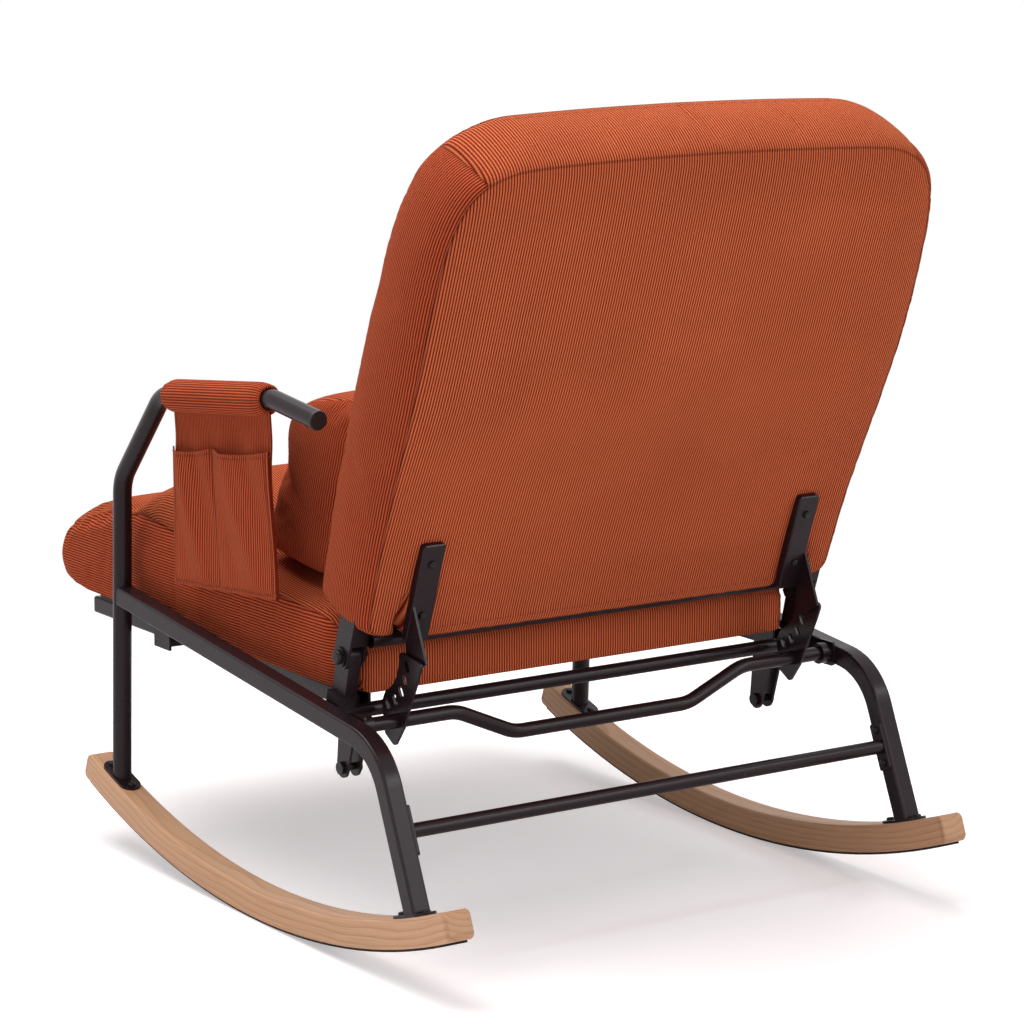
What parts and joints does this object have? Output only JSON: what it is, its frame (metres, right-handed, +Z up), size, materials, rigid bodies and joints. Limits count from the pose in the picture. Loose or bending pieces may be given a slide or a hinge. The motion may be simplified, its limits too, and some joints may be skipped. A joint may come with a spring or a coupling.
{
  "type": "reclining rocking chair",
  "caption": "Rocking chair with a tilting padded back on a latched hinge, padded seat, loose lumbar pillow, steel tube frame, bent wooden rockers and a hanging arm pocket.",
  "frame": {"origin": "on the floor, under the middle of the chair's length and width", "axes": "+Z up, -Y the way the sitter faces, +X the sitter's left, the side with the pocket"},
  "size_m": [0.696, 0.9308, 0.9116],
  "materials": {
    "wood": "satin lacquer",
    "strip": "matte",
    "steel": "satin powder coat",
    "bolt": "black oxide",
    "plug": "matte",
    "board": "plywood, dark stain",
    "corduroy": "corduroy, matte"
  },
  "bodies": {
    "frame": {"arm_cap_left": "plug", "arm_cap_right": "plug", "arm_post_left": "steel", "arm_post_right": "steel", "arm_sleeve_left": "corduroy", "arm_sleeve_right": "corduroy", "crossbar_plate_left": "steel", "crossbar_plate_right": "steel", "crossbar_screws": "bolt", "foot_screws": "bolt", "front_crossbar": "steel", "front_foot_plate_left": "steel", "front_foot_plate_right": "steel", "hinge_bolt_left": "bolt", "hinge_bolt_right": "bolt", "hinge_upright_left": "steel", "hinge_upright_right": "steel", "lower_crossbar": "steel", "rear_foot_plate_left": "steel", "rear_foot_plate_right": "steel", "release_bearing_left": "steel", "release_bearing_right": "steel", "rocker_left": "wood", "rocker_right": "wood", "rocker_strip_left": "strip", "rocker_strip_right": "strip", "seat_bearer_left": "steel", "seat_bearer_right": "steel", "seat_board": "board", "seat_cushion": "corduroy", "seat_hanger_left": "steel", "seat_hanger_right": "steel", "seat_lug_bolt_left": "bolt", "seat_lug_bolt_right": "bolt", "seat_lugs": "steel", "side_pocket": "corduroy", "side_rail_left": "steel", "side_rail_right": "steel", "upper_crossbar": "steel"},
    "back": {"hinge_channel_left": "steel", "hinge_channel_right": "steel", "back_bracket_left": "steel", "back_bracket_right": "steel", "back_fin_left": "steel", "back_fin_right": "steel", "back_frame": "steel", "back_cross_tube": "steel", "bracket_screws": "bolt", "back_cushion": "corduroy", "lumbar_pillow": "corduroy"},
    "release": {"release_bar": "steel", "latch_plate_left": "steel", "latch_plate_right": "steel"}
  },
  "joints": [
    {"name": "backrest_recline", "type": "hinge", "parent": "frame", "child": "back", "pos_m": [0, 0.2096, 0.323], "axis": [-1, 0, 0], "range_deg": [0, 48]},
    {"name": "release_turn", "type": "hinge", "parent": "frame", "child": "release", "pos_m": [0, 0.2466, 0.254], "axis": [-1, 0, 0], "range_deg": [0, 25]}
  ]
}
